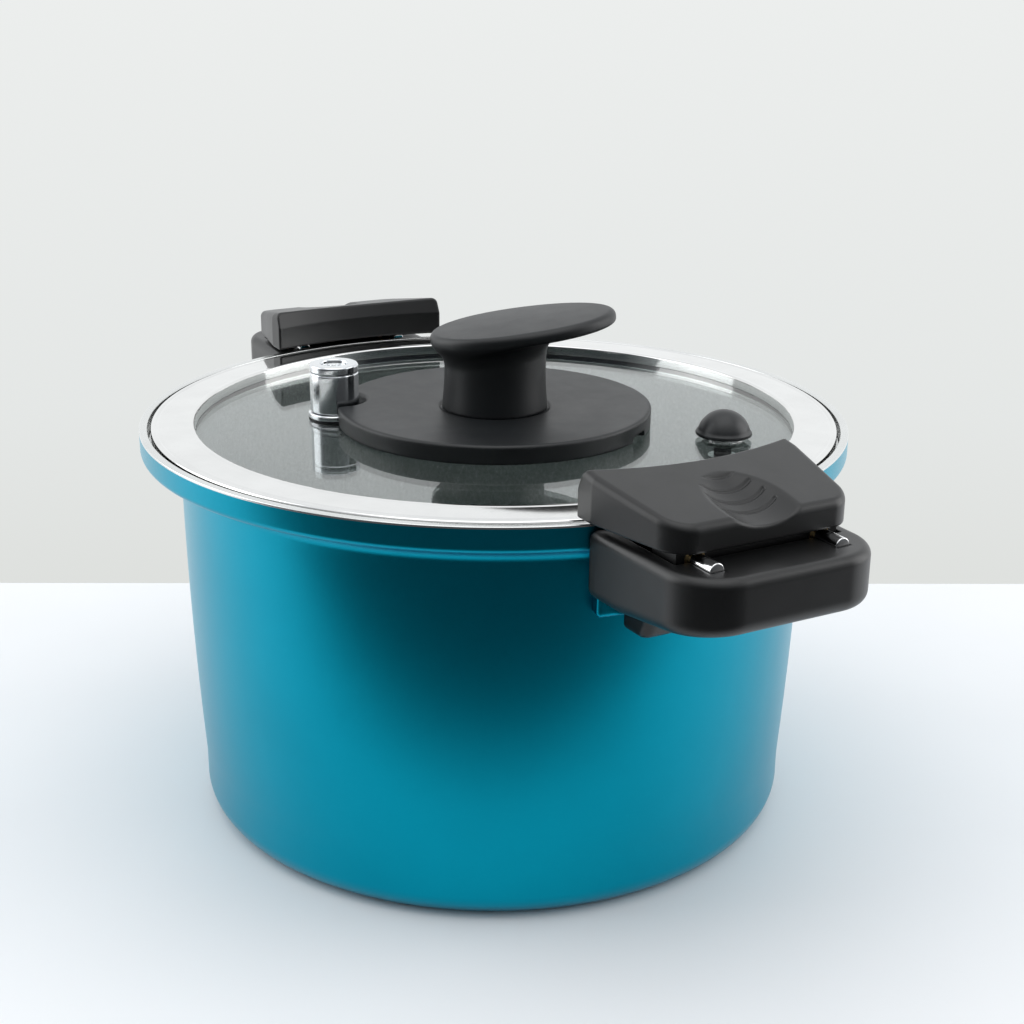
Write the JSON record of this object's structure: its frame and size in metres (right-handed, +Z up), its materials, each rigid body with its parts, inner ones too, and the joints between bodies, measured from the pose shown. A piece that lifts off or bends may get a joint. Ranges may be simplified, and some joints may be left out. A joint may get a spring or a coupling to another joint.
{
  "type": "stovetop pressure cooker",
  "caption": "Teal cast pressure cooker with a glass lid, oval knob, pressure weight, safety plug and a sliding lock on each side handle.",
  "frame": {"origin": "centre of the flat base, on the surface that the cooker stands on", "axes": "+Z up along the pot's axis, +X through the middle of the front handle, +Y to the left of it"},
  "size_m": [0.362, 0.26, 0.1901],
  "materials": {
    "pot_coating": "satin",
    "base_steel": "brushed",
    "polished_steel": "polished",
    "fastener_steel": "satin",
    "valve_aluminium": "polished",
    "lid_glass": "polished",
    "handle_plastic": "satin",
    "knob_plastic": "matte",
    "black_silicone": "satin",
    "brass": "satin"
  },
  "bodies": {
    "pot": {"pot_shell": "pot_coating", "induction_disc": "base_steel", "front_handle": "handle_plastic", "front_guide_rods": "polished_steel", "front_handle_screws": "fastener_steel", "front_handle_washers": "fastener_steel", "front_detent_ball": "fastener_steel", "front_detent_spring": "fastener_steel", "rear_handle": "handle_plastic", "rear_guide_rods": "polished_steel", "rear_handle_screws": "fastener_steel", "rear_handle_washers": "fastener_steel", "rear_detent_ball": "fastener_steel", "rear_detent_spring": "fastener_steel"},
    "lid": {"glass_panel": "lid_glass", "lid_band": "polished_steel", "lid_gasket": "black_silicone", "knob_plate": "knob_plastic", "knob": "knob_plastic", "knob_insert": "brass", "knob_screw": "fastener_steel", "knob_washer": "fastener_steel", "knob_seal": "black_silicone", "vent_pipe": "valve_aluminium", "vent_seal": "black_silicone", "vent_washer": "fastener_steel", "vent_nut": "fastener_steel", "safety_seat": "fastener_steel"},
    "front_lock": {"front_lock_cover": "handle_plastic", "front_lock_carriage": "handle_plastic", "front_lock_bushes": "brass", "front_carriage_screws": "fastener_steel"},
    "rear_lock": {"rear_lock_cover": "handle_plastic", "rear_lock_carriage": "handle_plastic", "rear_lock_bushes": "brass", "rear_carriage_screws": "fastener_steel"},
    "pressure_weight": {"valve_weight": "valve_aluminium"},
    "safety_float": {"safety_plug": "black_silicone", "safety_clip": "fastener_steel"}
  },
  "joints": [
    {"name": "lid_lift", "type": "slide", "parent": "pot", "child": "lid", "axis": [0, 0, 1], "range_m": [0, 0.12]},
    {"name": "front_lock_slide", "type": "slide", "parent": "pot", "child": "front_lock", "axis": [-1, 0, 0], "range_m": [0, 0.009]},
    {"name": "rear_lock_slide", "type": "slide", "parent": "pot", "child": "rear_lock", "axis": [1, 0, 0], "range_m": [0, 0.009]},
    {"name": "weight_lift", "type": "slide", "parent": "lid", "child": "pressure_weight", "axis": [0, 0, 1], "range_m": [0, 0.012]},
    {"name": "safety_lift", "type": "slide", "parent": "lid", "child": "safety_float", "axis": [0, 0, 1], "range_m": [0, 0.0035]}
  ]
}
